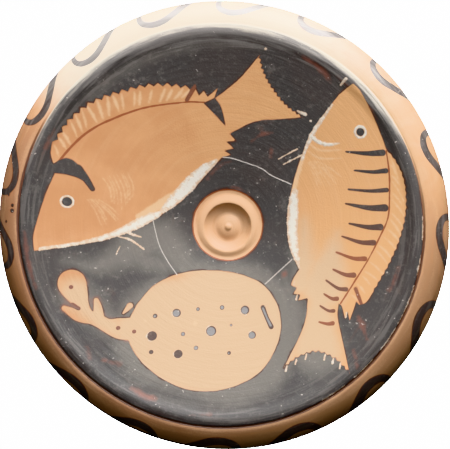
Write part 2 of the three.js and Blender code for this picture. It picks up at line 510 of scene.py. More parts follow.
@dataclass
class StripedFish:
    """The fish at the right: head up, barred across the back, with a finned back and a white belly."""

    eye: tuple[float, float] = (67.7, 45.6)
    pupil: float = 4.0
    eye_width: float = 7.0
    contour_width: float = 0.85
    ray_count: int = 17
    ray_width: float = 1.4
    back: Knots = (
        (80.6, 36.5), (81.8, 26.2), (81.8, 16), (80.9, 4), (76.6, -5.6), (70.9, -16.4), (64.6, -26.4),
        (57, -38.2),
    )
    bar_sag: float = 0.7  # mm that a bar's middle hangs below its lower end
    bar_waist: float = 0.72  # of a bar's width, at its middle
    # each bar's left and right ends, its width at the right end and its tone
    bars: Knots = (
        (59.9, 35.6, 80.3, 35.6, 3.2, 0), (64, 26.5, 81.4, 26.8, 2.5, 0), (60.6, 17.2, 81.6, 17.4, 2.3, 0.05),
        (59, 10.2, 81.2, 8.7, 3.6, 0.05), (60.8, 0.5, 78.6, -0.7, 3.2, 0.1),
        (57.2, -5.8, 74.9, -8.4, 2.8, 0.25), (54.4, -13.6, 70.3, -16.3, 2.4, 0.6),
        (52.8, -22, 64.8, -24.3, 2.6, 0.45), (49.3, -27.3, 60.8, -31.3, 2.2, 0.3),
        (48.4, -34, 56.2, -35.9, 2.2, 0.5), (46.6, -39.8, 54.6, -41.8, 1.9, 0.35),
        (46.3, -47.6, 54.4, -47.8, 2.1, 0.6),
    )

    def body(self) -> Area:
        """Returns the bare clay of the body and its fins."""
        return Area(
            Paint.CLAY,
            0.5,
            runs=(
                ((68.9, 65.1), (73.3, 56.3), (77.2, 46.8), (80.6, 37.6)),
                (
                    (85.3, 32), (88.7, 24.8), (90.4, 15.6), (89.8, 4.5), (86.8, -6.6), (81.2, -19.4),
                    (73.6, -32.2),
                ),
                ((69.8, -37.4), (66.6, -38.6)), ((65, -37),), ((61.9, -46.4),), ((60.8, -42),), ((59.4, -45),),
                ((57.6, -39.4), (56, -38.2)), ((55.6, -44), (58, -54), (62.6, -71.9)),
                ((54.4, -64.8), (46, -61.9), (37.6, -64), (29.6, -69.6)),
                ((35.9, -56), (39.2, -47), (40.3, -35.6)), ((35.4, -37),), ((36.8, -34),), ((33, -33.6),),
                ((34.6, -30.8),), ((31.6, -29.4),), ((33.2, -25.6), (35.9, -21.6)),
                (
                    (31.6, -12.6), (29.8, -2), (30.6, 11), (35.3, 28.9), (42.2, 43.6), (49.4, 53.6), (57, 63),
                    (65.1, 69.4),
                ),
            ),
            notches={1: (3.4, 0.55), 9: (2.9, 0.9)},
        )

    def shapes(self) -> list[Shape]:
        """Returns the body with everything that is painted on it."""
        body = self.body()
        painted: list[Shape] = [
            body,
            Stroke(Paint.LINE, 0.3, knots=tuple((*knot, self.contour_width) for knot in self.back)),
            *painted_eye(self.eye, self.pupil, self.eye_width),
            Stroke(
                Paint.WHITE, 0.4, body=1.8,
                knots=((42.2, 43.6, 2.4), (45.6, 40.8, 2.3), (50.7, 39.4, 2), (56.4, 40, 1)),
            ),
            Stroke(
                Paint.WHITE, 0.4, body=1.3,
                knots=((54.2, 59, 0.9), (48.8, 52.4, 1.9), (43.2, 44.8, 2.4), (39.6, 38, 1.8), (37, 31.5, 1.2)),
            ),
            Stroke(Paint.PALE, 0.6, knots=((37.6, 33, 2.6), (34.4, 23.5, 3.4), (32.4, 15, 3.6))),
            whitened(
                body,
                ((33.6, 16.6, 3), (32.6, 9, 5.6), (32.2, -3, 5.8), (33.4, -13, 4.4), (35.4, -20.8, 1.4)),
                0.5,
                spill=0.3,
            ),
            Stroke(Paint.SLIP, 0.5, 0.5, knots=((64.6, -31, 1.8), (67.6, -38, 1.6))),
        ]
        for left, low, right, high, width, tone in self.bars:
            sag = min(low, high) - self.bar_sag
            middle = (left * 0.45 + right * 0.55, sag * 0.6 + (low + high) * 0.2, width * self.bar_waist)
            knots = ((left, low + 0.3, 0.9), middle, (right - width / 2, high, width))
            painted.append(Stroke(Paint.SLIP, 0.5, tone, 2, knots=knots))
        rays = fan(
            ((82.4, 33.8), (83.4, 18), (82, 2), (75, -12.4), (62.4, -34)),
            ((85.2, 27), (88.8, 11), (87, -6.6), (80, -20.6), (66, -37)),
            self.ray_count,
            self.ray_width,
            bend=0.3,
        )
        rays += fan(((40.2, 30.6), (44, 31.8)), ((45.4, 15.6), (52.4, 19), (57.6, 23.4)), 7, 0.8, bend=0.5)
        rays += [
            ((41.4, 39.4, 1.2), (46.4, 36.6, 1.4), (57.8, 36.9, 0.7)),
            ((40.2, 36.2, 1), (46, 32.8, 1.3), (57.2, 32.6, 0.6)),
        ]
        painted += [Stroke(Paint.PALE, 0.62, knots=ray) for ray in rays]
        ticks = (
            (33.4, -28.4), (34.6, -35.6), (30.8, -70.2), (35.4, -66.8), (40.4, -64.2), (49.8, -64.4),
            (54, -66.2), (57.6, -68.4), (60, -43.8),
        )
        for x, y in ticks:
            knots = ((x - 0.2, y - 1, 1), (x + 0.3, y + 1.4, 0.8))
            painted.append(Stroke(Paint.WHITE, 0.4, body=1.6, knots=knots))
        return painted


@dataclass
class Ray:
    """The ray at the foot of the picture: a round disc with spots and a tail that ends in a leaf."""

    # each spot's middle, its width and the share of it that has gone grey
    spots: Knots = (
        (-24.8, -43.2, 4.1, 0.8), (-36.1, -54.5, 4.7, 0), (-7.6, -52, 5, 0.85), (-23, -63.3, 4.2, 0),
        (9, -41.7, 4.3, 0.8), (12.8, -53.9, 3.7, 0.9), (-74.4, -30.8, 1.9, 0), (-52.1, -50.7, 2, 0),
        (-44.6, -52.4, 1.9, 0), (-35.2, -44.7, 2.2, 0.6), (-14.3, -41.3, 1.9, 1), (-2.4, -40.5, 2.3, 1),
        (-21.3, -53.5, 2.1, 1), (-35.9, -62.4, 2.1, 0), (-14.6, -60.3, 2.2, 1), (2.2, -49.1, 1.3, 1),
        (1.8, -62.7, 1.9, 0.5),
    )
    fringe: float = 2.0  # mm of thin slip round the tail, both sides together

    def shapes(self) -> list[Shape]:
        """Returns the disc and the tail with everything that is painted on them."""
        disc = (
            (-44.4, -39.4), (-36.5, -29.9), (-24, -24), (-8, -22.2), (6.6, -24.2), (17.6, -29.2),
            (24.6, -38.2), (27.1, -49), (25.4, -58.8), (20.1, -69.2), (11, -76.4), (-3, -81), (-18, -80.3),
            (-31.7, -74.1), (-42, -65), (-47.6, -54.6), (-47.2, -46.6), (-44.4, -39.4),
        )
        tail = (
            (-44, -51.4, 11.6), (-51, -50.9, 10.2), (-57.4, -49.4, 6.6), (-63.4, -46, 6.4), (-70, -44.8, 5.8),
            (-77, -41.2, 2.6),
        )
        leaf = (
            (-65.4, -44.4, 3.6), (-68, -40.6, 4.6), (-71.6, -34.6, 9.6), (-73.9, -29.6, 12.8),
            (-74.2, -28.4, 12.4),
        )
        hook = ((-61.4, -44.6, 5), (-62, -40.6, 3.8), (-62.9, -37, 2.4))
        painted: list[Shape] = [Area(Paint.CLAY, 0.7, runs=(disc,))]
        for knots in (tail, leaf, hook):
            fringe = tuple((x, y, width + self.fringe) for x, y, width in knots)
            painted += [Stroke(Paint.CLAY, 0.5, knots=knots), Stroke(Paint.THIN, 1.2, knots=fringe)]
        for knots in (((-70.6, -41.3, 1.8), (-73.4, -39.6, 2.2)), ((-64.9, -39, 1.6), (-65.4, -36.6, 2.4))):
            painted.append(Stroke(Paint.SLIP, 0.4, 0.1, 2, knots=knots))
        for x, y, width, grey in self.spots:
            painted.append(Stroke(Paint.SLIP, 0.4, 0.1, 2.4, knots=((x, y, width),)))
            if grey:
                painted.append(Stroke(Paint.BLOOM, 0.5, knots=((x - 0.2, y - 0.2, width * grey),)))
            if width > 3:
                edge = arc((x, y), width / 2 + 0.25, 100, 320, 0.5)
                painted.append(Stroke(Paint.WHITE, 0.4, body=1.5, knots=edge))
        return painted + [
            Stroke(Paint.SLIP, 0.4, 0.1, 2, knots=((17.9, -40.4, 2.3), (20, -45.6, 2.1), (22.2, -49.8, 2.5))),
            Stroke(Paint.BLOOM, 0.4, knots=((17.9, -40.9, 1.1), (20, -45.6, 1.1), (21.9, -49.2, 1.2))),
            Stroke(Paint.CLAY, 0.4, knots=((-50.2, -43.4, 0.9), (-47.4, -39.8, 3.2))),
            Stroke(Paint.PALE, 0.5, knots=((-39.8, -47.2, 1.8),)),
            Stroke(Paint.PALE, 0.5, knots=((-15.6, -48.1, 2.6),)),
        ]


@dataclass
class Wear:
    """What age and the kiln left on the picture: cracks, strays of white, slip that fired red, and a grey film
    that is partly painted sheen.
    """

    crack_width: float = 0.5
    cracks: tuple[Knots, ...] = (
        ((-2, 33.4), (1.9, 33), (10.3, 30.4), (17.3, 27.7), (21.7, 24.6), (31.7, 20.1)),
        ((-36.8, 2.4), (-33.8, -9.3), (-29.8, -17.2), (-24.8, -24.4)), ((32.2, -16.7), (18.8, -28.9)),
    )
    groove_middle: float = 98.2  # mm from the wheel's axis
    # where lime stayed in the groove, in degrees
    deposits: Knots = ((-60, -52), (-49, -41), (-38, -30), (-29, -17), (-14, -8), (-4, 3))

    def shapes(self) -> list[Shape]:
        """Returns the worn and misfired places."""
        painted: list[Shape] = []
        for crack in self.cracks:
            painted.append(Stroke(Paint.CRACK, 0.3, knots=tuple((*knot, self.crack_width) for knot in crack)))
        strays = (
            ((-50.4, -3.4, 0.8), (-47, -4.6, 1.2), (-42.6, -5.9, 0.9)),
            ((-53.8, -5.7, 0.7), (-48, -7.2, 1.1), (-41.2, -11.9, 0.9)),
            ((-52.8, -10.3, 0.5), (-54.6, -14.3, 0.5)), ((25.3, 32.3, 0.5), (34.9, 37.2, 0.9)),
            ((27.8, 29.6, 0.5), (37.3, 34.3, 0.9)), ((59, 68.6, 1.3), (61.6, 71.6, 1.5)),
            ((36, 55.8, 0.9), (40, 54.2, 1.7)), ((42.4, 51, 1.1),), ((22.4, 86.2, 1.4),),
        )
        painted += [Stroke(Paint.WHITE, 0.4, body=1.5, knots=knots) for knots in strays]
        for span in self.deposits:
            lime = arc((0, 0), self.groove_middle, *span, 0.42)
            painted.append(Stroke(Paint.WHITE, 0.4, body=1.2, knots=lime))
        thin = (
            ((-43.8, -80.4, 3), (-38, -83.4, 4.6), (-32, -85.3, 2.4)),
            ((-16.4, -92.9, 1.3), (-4.8, -92.7, 1.5)), ((64.2, -61, 3.2), (66.6, -69, 2.2)),
            ((28.2, -24, 4.6),), ((12.2, 41, 2.2), (17.6, 44.4, 2.6), (23, 45.2, 1.8)),
            ((21.8, 37.8, 2.4), (22, 33, 2.2)), ((41, 82, 2.6), (50.6, 75, 4.2), (54, 69.6, 2.2)),
            ((-10, 22.6, 2.4), (-3, 29.6, 2.8), (1.8, 31.2, 2)), ((-66, -60, 2.4), (-64, -66, 2.2)),
            ((-58, -66.4, 2), (-50, -68.6, 3.6)), ((66.4, -44, 2.4), (71, -55.6, 2)),
            ((81.6, -31, 2.8), (86.4, -21.4, 2.4)), arc((0, 0), 95.6, 182, 201, 3),
            arc((0, 0), 93, 150, 163, 2), arc((0, 0), 92.6, 34, 52, 2.4), arc((0, 0), 18.4, 20, 150, 1.6),
        )
        painted += [Stroke(Paint.THIN, 1.2, knots=knots) for knots in thin]
        # a grey film, partly painted sheen: it pales slip and clay mostly towards the picture's foot, where the
        # lamps' reflection lies
        haze_and_sheen = (
            ((-78, -18, 6), (-62, -20, 12), (-48, -12, 20), (-34, -6, 22), (-20, -20, 18), (6, -25, 9)),
            ((28, -24, 8), (34, -46, 15), (28, -70, 11), (8, -86, 6), (-24, -86, 4), (-44, -76, 3)),
            ((-27, -53, 60), (2, -53, 76)), ((55, -4, 6), (51, -20, 20), (48, -30, 28)),
            ((38, 2, 8), (38, -14, 15), (37, -28, 18)), ((-72, -34, 20), (-58, -48, 16), (-46, -56, 14)),
            ((47, -26, 14), (46, -48, 22), (46, -60, 30)),
            ((-52, -16, 8), (-40, -18, 13), (-30, -20, 13), (-18, -20, 8)),
            ((-12, -20, 7), (4, -22, 8), (16, -20, 5)),
            ((-64, 62, 3), (-44, 77, 4.4), (-12, 88, 4.4), (20, 88, 3)),
        )
        painted += [Stroke(Paint.HAZE_AND_SHEEN, 5, knots=knots) for knots in haze_and_sheen]
        painted.append(Ring(Paint.LINE, 0.5, inner=17, outer=18.1))
        return painted


@dataclass
class WornAndLitRim:
    """Where hands and washing wore the slip, with a painted highlight and reflection laid over it where
    the lamps fall: over the lip at the picture's head, and just inside it.

    Attributes:
        lip: How far wear and the painted highlight reach into the lip: degrees from +X, and mm of depth.
        crown: How far inside the groove the wear and the painted sheen reach: degrees from +X, and mm.
        bare_strip: How wide the clay is left bare inside the groove, in mm; it takes the lip's wear and
            painted highlight.
    """

    lip: Knots = (
        (-50, -3), (-10, -0.6), (5, 0.5), (20, 1.5), (42, 2.4), (65, 4.6), (82, 8), (112, 8), (130, 5.6),
        (142, 3.2), (152, 0.6), (165, -1), (185, -3),
    )
    crown: Knots = (
        (5, -3), (18, 2), (40, 8), (70, 12), (100, 12.5), (128, 9.5), (150, 5.2), (168, 1.4), (184, -3),
    )
    bare_strip: float = 1.1

    def depth(self, places: "Places") -> np.ndarray:
        """Returns how deep each place lies in the wear and the painted highlight over the lip, in mm."""
        degrees = np.degrees(places.angle)
        lip, crown = (np.interp(degrees, *np.array(knots).T, period=360) for knots in (self.lip, self.crown))
        return np.maximum(np.where(places.down < -self.bare_strip, crown + places.down, lip), -REACH)


@dataclass
class RunningWaves:
    """The border of running waves round the lip, each a stroke that curls back on itself at its crest.

    Attributes:
        count: How many waves there are.
        first: Degrees from +X to the first wave.
        crowding: Degrees that the painter gained towards the left, where the waves stand closer.
        crest: How far the crests stand below the groove, in mm, on average.
        sway: How far the crests' height sways once and twice round the lip, in mm.
        sway_turn: Degrees by which the first sway runs ahead.
        seed: What the painter's unsteadiness starts from.
        unevenness: The least and greatest of each wave's thickness and length, as shares, and its lean.
        heft: How much thicker the strokes are at the picture's foot than at its head, as a share.
        base: Where the band under the waves starts and ends, in mm down from the groove.
        rise: How much higher that band starts at its highest, in mm, and at how many degrees from +X;
            it climbs as painted shade where the lip is turned from the lamps.
        wave: A wave's knots: mm round the lip from its crest, mm down from it, and width.
        drips: Dots of slip beside the waves: their angle, mm down from the groove, and width.
    """

    count: int = 17
    first: float = 65.0
    crowding: float = 4.0
    crest: float = 4.3
    sway: tuple[float, float] = (2, 1.1)
    sway_turn: float = 38.0
    seed: int = 17
    unevenness: Knots = ((0.88, 1.1), (0.94, 1.07), (-0.05, 0.05))
    heft: float = 0.2
    base: tuple[float, float] = (25.5, 28.5)
    rise: tuple[float, float] = (14, 248)
    wave: Knots = (
        (-1, 13.8, 1.6), (0.2, 12.2, 2.2), (2.2, 11.8, 2.5), (3.6, 13.2, 2.8), (5.4, 14, 3), (7.7, 11.4, 3.4),
        (8.3, 7.4, 3.8), (7.4, 4.2, 4.2), (4.6, 2.2, 4.4), (0.6, 1.5, 4.5), (-3.4, 2.1, 4.6), (-7.4, 3.9, 4.8),
        (-11.6, 6.9, 5.4), (-15.6, 11.5, 6.8), (-19, 17, 8.4), (-21.6, 22, 9.4),
    )
    drips: Knots = ((176.4, 2.7, 2.3), (174.9, 2.7, 1.8), (172.3, 5.6, 1.3), (179.4, 6.1, 1.6))

    def placed(self) -> list[tuple[float, Shape]]:
        """Returns each wave and drip with the angle that it stands at, in radians."""
        brush = np.random.default_rng(self.seed)
        shapes = []
        for number in range(self.count):
            lag = self.crowding * (1 - math.cos(2 * math.pi * (number - 1) / self.count))
            angle = math.radians(self.first + 360 * number / self.count - lag)
            once = math.cos(angle + math.radians(self.sway_turn))
            drop = self.crest + self.sway[0] * once + self.sway[1] * math.sin(2 * angle)
            heft, reach, lean = (brush.uniform(*limits) for limits in self.unevenness)
            heft *= 1 - self.heft * math.sin(angle)
            knots = tuple((u * reach, drop + s + lean * u, width * heft) for u, s, width in self.wave)
            shapes.append((angle, Stroke(Paint.SLIP, 0.6, 0.03, knots=knots)))
        for degrees, down, width in self.drips:
            shapes.append((math.radians(degrees), Stroke(Paint.SLIP, 0.5, knots=((0, down, width),))))
        return shapes


@dataclass
class Places:
    """Where points of the dish lie, as its painter would say it.

    Attributes:
        plan: Their x and y about the wheel's axis, in mm.
        angle: Their angle round the axis, in radians.
        down: How far they are from the groove, out and down the lip, in mm; less than 0 on the floor.
        foot: How deep they lie within the band of slip on the foot and stem, in mm.
    """

    plan: np.ndarray
    angle: np.ndarray
    down: np.ndarray
    foot: np.ndarray

    def where(self, chosen: np.ndarray) -> "Places":
        """Returns only the chosen places."""
        return Places(self.plan[chosen], self.angle[chosen], self.down[chosen], self.foot[chosen])


@dataclass
class Painting:
    """Everything that is painted on the dish.

    Attributes:
        collar_edge: Radius in mm where the floor's slip starts, outside the collar.
        groove_edge: How far inside the groove's outer edge the floor's slip ends, in mm.
        lip_radius: Radius in mm at which lengths round the lip are measured.
        lip_reach: How far down the lip the waves are painted, in mm.
    """

    collar_edge: float = 17.6
    groove_edge: float = 1.1
    lip_radius: float = 110.0
    lip_reach: float = 29.0
    waves: RunningWaves = field(default_factory=RunningWaves)
    # where wear and a painted highlight lie over the lip's head
    wear_and_highlight: WornAndLitRim = field(default_factory=WornAndLitRim)

    def __post_init__(self) -> None:
        """Draws every figure once."""
        self.figures = [*Bream().shapes(), *StripedFish().shapes(), *Ray().shapes(), *Wear().shapes()]
        self.border = self.waves.placed()

    def lip_places(self, places: Places, angle: float) -> np.ndarray:
        """Returns how far round the lip from an angle, and down it, each place lies, in mm."""
        turn = (places.angle - angle + math.pi) % (2 * math.pi) - math.pi
        return np.stack([turn * self.lip_radius, places.down], axis=1)

    def wants_finer(self, places: Places, sizes: np.ndarray) -> np.ndarray:
        """Says which faces are too coarse for the painted edges that they lie near.

        Args:
            places: The faces' middles.
            sizes: The faces' sizes in mm.

        Returns:
            True for each face that has to be divided.
        """
        finer = np.zeros(len(sizes), bool)
        on_floor = places.down < 0
        for shape in self.figures:
            finer[on_floor] |= shape.wants_finer(places.plan[on_floor], sizes[on_floor])
        on_lip = (places.down >= 0) & (places.down < self.lip_reach)
        lip = places.where(on_lip)
        for angle, shape in self.border:
            finer[on_lip] |= shape.wants_finer(self.lip_places(lip, angle), sizes[on_lip])
        return finer

    def layers(self, places: Places) -> dict[str, np.ndarray]:
        """Works out how deep each place lies in each kind of paint.

        Args:
            places: The mesh's vertices.

        Returns:
            Depths in mm by attribute name, and the tone of the slip.
        """
        on_floor = places.down < 0
        plan = places.plan[on_floor]
        depths = {paint: np.full(len(plan), -REACH) for paint in Paint}
        tone = np.zeros(len(plan))
        for shape in self.figures:
            depth = np.maximum(shape.depth_near(plan) * shape.body, -REACH)
            if shape.paint is Paint.SLIP:
                tone = np.where((depth > depths[Paint.SLIP]) & (depth > -REACH), shape.tone, tone)
            depths[shape.paint] = np.maximum(depths[shape.paint], depth)
        radius = np.hypot(*plan.T)
        ground = np.minimum(radius - self.collar_edge, -places.down[on_floor] - self.groove_edge)
        ground = np.minimum(ground, -depths[Paint.CLAY])
        tone = np.where(ground > depths[Paint.SLIP], 0.0, tone)
        depths[Paint.SLIP] = np.clip(np.maximum(depths[Paint.SLIP], ground), -REACH, REACH)
        layers = {}
        for paint in Paint:
            layers[paint.value] = np.full(len(on_floor), -REACH)
            layers[paint.value][on_floor] = depths[paint]
        layers["tone"] = np.zeros(len(on_floor))
        layers["tone"][on_floor] = tone
        on_lip = (places.down >= 0) & (places.down < self.lip_reach + REACH)
        lip = places.where(on_lip)
        low, high = self.waves.base
        height, turn = self.waves.rise
        # painted shade: the dark band climbs the lip towards the side turned from the lamps
        shaded_swell = height * np.maximum(np.cos(lip.angle - math.radians(turn)), 0)
        border = np.minimum(lip.down - low + shaded_swell, high - lip.down)
        tone = np.zeros(len(border))
        for angle, shape in self.border:
            depth = shape.depth_near(self.lip_places(lip, angle))
            tone = np.where((depth > border) & (depth > -REACH), shape.tone, tone)
            border = np.maximum(border, depth)
        layers["slip"][on_lip] = np.clip(border, -REACH, REACH)
        layers["tone"][on_lip] = tone
        layers["slip"] = np.maximum(layers["slip"], np.clip(places.foot, -REACH, REACH))
        # wear over the lip's head, with a painted highlight and reflection there
        layers["rubbed_and_lit"] = self.wear_and_highlight.depth(places)
        return layers


@dataclass(frozen=True)
class Stretch:
    """One stretch of the dish's profile, as a cubic curve of radius and height in mm."""

    start: Vector
    start_handle: Vector
    end_handle: Vector
    end: Vector
    steps: int

    def points(self, fineness: int) -> list[Vector]:
        """Returns the stretch's points after its start, with fineness times its steps."""
        count = self.steps * fineness + 1
        return interpolate_bezier(self.start, self.start_handle, self.end_handle, self.end, count)[1:]


def at(radius: float, height: float) -> Vector:
    """Returns a point of the profile."""
    return Vector((radius, 0.0, height))


def straight(start: Vector, end: Vector, steps: int = 1) -> Stretch:
    """Returns a straight stretch of the profile."""
    return Stretch(start, start.lerp(end, 1 / 3), start.lerp(end, 2 / 3), end, steps)


def rounded(start: Vector, corner: Vector, end: Vector, steps: int) -> Stretch:
    """Returns a stretch that rounds a corner as a quarter of a circle."""
    quarter = 0.5523  # how far a cubic curve's handles reach to the corner
    return Stretch(start, start.lerp(corner, quarter), end.lerp(corner, quarter), end, steps)


@dataclass
class ThrownPlate:
    """The dish as the potter left it, in mm, with the same sizes as the solid that it replaces."""

    painting: Painting
    height: float = 46.0
    rim_radius: float = 110.0
    floor_thickness: float = 6.8
    floor_drop: float = 11.0
    floor_sag: float = 0.5
    shoulder_width: float = 9.5
    shoulder_roll: float = 0.35
    groove_width: float = 1.3
    groove_depth: float = 0.6
    lip_overhang: float = 11.2
    lip_height: float = 22.0
    lip_belly: float = 11.5
    lip_thickness: float = 6.2
    lip_tuck: float = 1.4
    lip_inner_fillet: float = 6.0
    nipple_radius: float = 1.5
    nipple_height: float = 0.6
    boss_height: float = 1.4
    well_bottom_radius: float = 6.6
    well_wall_run: float = 5.1
    well_depth: float = 3.6
    under_well_thickness: float = 9.0
    ring_crest_width: float = 1.4
    ring_rise: float = 0.3
    ring_slope_run: float = 2.3
    channel_width: float = 0.7
    channel_depth: float = 0.35
    collar_run: float = 1.4
    stem_radius: float = 34.0
    stem_fillet: float = 13.0
    foot_flare: float = 16.0
    foot_edge_height: float = 7.0
    foot_edge_bevel: float = 1.5
    foot_ring_width: float = 8.0
    rim_oval: float = 0.018
    rim_oval_angle: float = 157.0
    rim_drift: float = 2.4
    well_drift: float = 0.9
    closing_wear: float = 4.0  # mm of wear that would close the groove
    groove_left: float = 0.1  # share of the groove's depth that wear leaves
    steps_around: int = 186
    fineness: int = 8  # how much finer than the mesh the profile is that its points are set on
    levels: int = 4  # of division near painted edges

    def __post_init__(self) -> None:
        """Works out the radii and heights that follow from the sizes, and the fine profile."""
        self.groove_radius = self.rim_radius - self.lip_overhang
        self.shoulder_radius = self.groove_radius - self.shoulder_width
        self.well_radius = self.well_bottom_radius + self.well_wall_run
        self.channel_radius = self.well_radius + self.ring_crest_width + self.ring_slope_run
        self.collar_radius = self.channel_radius + self.channel_width + self.collar_run
        self.foot_radius = self.stem_radius + self.foot_flare
        self.floor_inner_height = self.height - self.floor_drop
        self.crest_height = self.floor_inner_height + self.ring_rise
        self.well_bottom_height = self.crest_height - self.well_depth
        self.floor_slope = (self.floor_drop - self.shoulder_roll) / (self.groove_radius - self.collar_radius)
        top_radius = self.stem_radius + self.stem_fillet
        self.stem_top = at(top_radius, self.floor_height(top_radius) - self.floor_thickness)
        self.groove_top = self.height - self.shoulder_roll
        groove_edge = self.groove_radius + self.groove_width / 2
        self.groove_outer = at(groove_edge, self.groove_top - self.groove_depth / 3)
        self.landmarks: dict[str, int] = {}
        self.stretches = [*self.foot_and_stem(), *self.underside_and_lip()]
        self.stretches += [*self.shoulder_and_floor(), *self.well()]
        fine = [self.stretches[0].start]
        for stretch in self.stretches:
            fine.extend(stretch.points(self.fineness))
        self.fine_profile = np.array([(point.x, point.z) for point in fine])
        gaps = np.hypot(*np.diff(self.fine_profile, axis=0).T)
        self.fine_lengths = np.concatenate(([0.0], np.cumsum(gaps)))
        self.fine_stations = np.arange(len(fine)) / self.fineness

    def floor_height(self, radius: float) -> float:
        """Returns the height of the floor's upper face at a radius, bowed below a straight line."""
        share = (radius - self.collar_radius) / (self.shoulder_radius - self.collar_radius)
        bow = 4 * self.floor_sag * share * (1 - share)
        return self.floor_inner_height + self.floor_slope * (radius - self.collar_radius) - bow

    def foot_and_stem(self) -> list[Stretch]:
        """Returns the hollow under the foot, the standing ring, the foot's edge and the stem."""
        hollow = at(0, self.well_bottom_height - self.under_well_thickness)
        ring_inner = at(self.foot_radius - self.foot_ring_width, 0)
        steepening = at(ring_inner.x - self.foot_ring_width, hollow.z / 2)
        ring_outer = at(self.foot_radius - self.foot_edge_bevel, 0)
        edge_low = at(self.foot_radius, self.foot_edge_bevel)
        edge_high = at(self.foot_radius, self.foot_edge_height - self.foot_edge_bevel)
        edge_top = at(ring_outer.x, self.foot_edge_height)
        stem_top = self.stem_top
        waist = at(self.stem_radius, (self.foot_edge_height + stem_top.z) / 2)
        flare_handle = at(self.stem_radius + self.foot_edge_bevel, self.foot_edge_height + self.foot_edge_bevel)
        half_fillet = self.stem_fillet / 2
        spread_handle = at(stem_top.x - half_fillet, stem_top.z - self.floor_slope * half_fillet)
        low_handle = at(self.stem_radius, (self.foot_edge_height + waist.z) / 2)
        high_handle = at(self.stem_radius, (waist.z + stem_top.z) / 2)
        stretches = [
            Stretch(hollow, at(ring_inner.x / 2, hollow.z), steepening, ring_inner, 12),
            straight(ring_inner, ring_outer, 2),
            rounded(ring_outer, at(self.foot_radius, 0), edge_low, 3),
            straight(edge_low, edge_high, 2),
            rounded(edge_high, at(self.foot_radius, self.foot_edge_height), edge_top, 3),
            Stretch(edge_top, flare_handle, low_handle, waist, 9),
            Stretch(waist, high_handle, spread_handle, stem_top, 8),
        ]
        self.landmarks["foot_edge"] = sum(stretch.steps for stretch in stretches[:4])
        self.landmarks["stem_top"] = sum(stretch.steps for stretch in stretches)
        return stretches

    def underside_and_lip(self) -> list[Stretch]:
        """Returns the underside of the floor and the lip, round its lower edge to the groove."""
        inner_radius = self.rim_radius - self.lip_thickness
        fillet_radius = inner_radius - self.lip_inner_fillet
        under_height = self.floor_height(self.shoulder_radius) - self.floor_thickness
        under = at(fillet_radius, under_height + self.floor_slope * (fillet_radius - self.shoulder_radius))
        inner = at(inner_radius, under.z - self.lip_inner_fillet)
        edge_height = self.height - self.lip_height
        edge_round = self.lip_thickness / 2
        edge_radius = self.rim_radius - self.lip_tuck - edge_round
        edge_inner = at(edge_radius - edge_round, edge_height + edge_round)
        edge_foot = at(edge_radius, edge_height)
        edge_outer = at(edge_radius + edge_round, edge_height + edge_round)
        widest = at(self.rim_radius, self.height - self.lip_belly)
        groove_outer = self.groove_outer
        overhang = self.rim_radius - groove_outer.x
        belly_handle = at(self.rim_radius, widest.z + self.lip_belly / 2)
        roll_handle = at(groove_outer.x + overhang / 2, groove_outer.z - self.floor_slope * overhang / 2)
        stretches = [
            straight(self.stem_top, under, 12),
            rounded(under, at(inner_radius, under.z), inner, 4),
            straight(inner, edge_inner, 2),
            rounded(edge_inner, at(edge_inner.x, edge_height), edge_foot, 4),
            rounded(edge_foot, at(edge_outer.x, edge_height), edge_outer, 4),
            rounded(edge_outer, at(self.rim_radius, (edge_outer.z + widest.z) / 2), widest, 4),
            Stretch(widest, belly_handle, roll_handle, groove_outer, 9),
        ]
        self.landmarks["groove"] = self.landmarks["stem_top"] + sum(stretch.steps for stretch in stretches)
        return stretches

    def shoulder_and_floor(self) -> list[Stretch]:
        """Returns the incised groove, the shoulder and the floor, in to the collar round the well."""
        groove_bottom = at(self.groove_radius, self.groove_top - self.groove_depth)
        groove_inner = at(self.groove_radius - self.groove_width / 2, self.height - self.shoulder_roll / 2)
        floor_start = at(self.shoulder_radius, self.floor_height(self.shoulder_radius))
        floor_end = at(self.collar_radius, self.floor_height(self.collar_radius))
        handle = self.shoulder_width / 4
        crown = at(groove_inner.x - handle, self.height)
        floor_handle = at(floor_start.x + handle, floor_start.z + self.floor_slope * handle)
        bow = at(0, -4 / 3 * self.floor_sag)
        floor = straight(floor_start, floor_end, 24)
        return [
            straight(self.groove_outer, groove_bottom, 2),
            straight(groove_bottom, groove_inner, 2),
            rounded(groove_inner, at(groove_inner.x - handle / 2, self.height), crown, 3),
            Stretch(crown, at(crown.x - handle, self.height), floor_handle, floor_start, 5),
            Stretch(floor.start, floor.start_handle + bow, floor.end_handle + bow, floor.end, floor.steps),
        ]

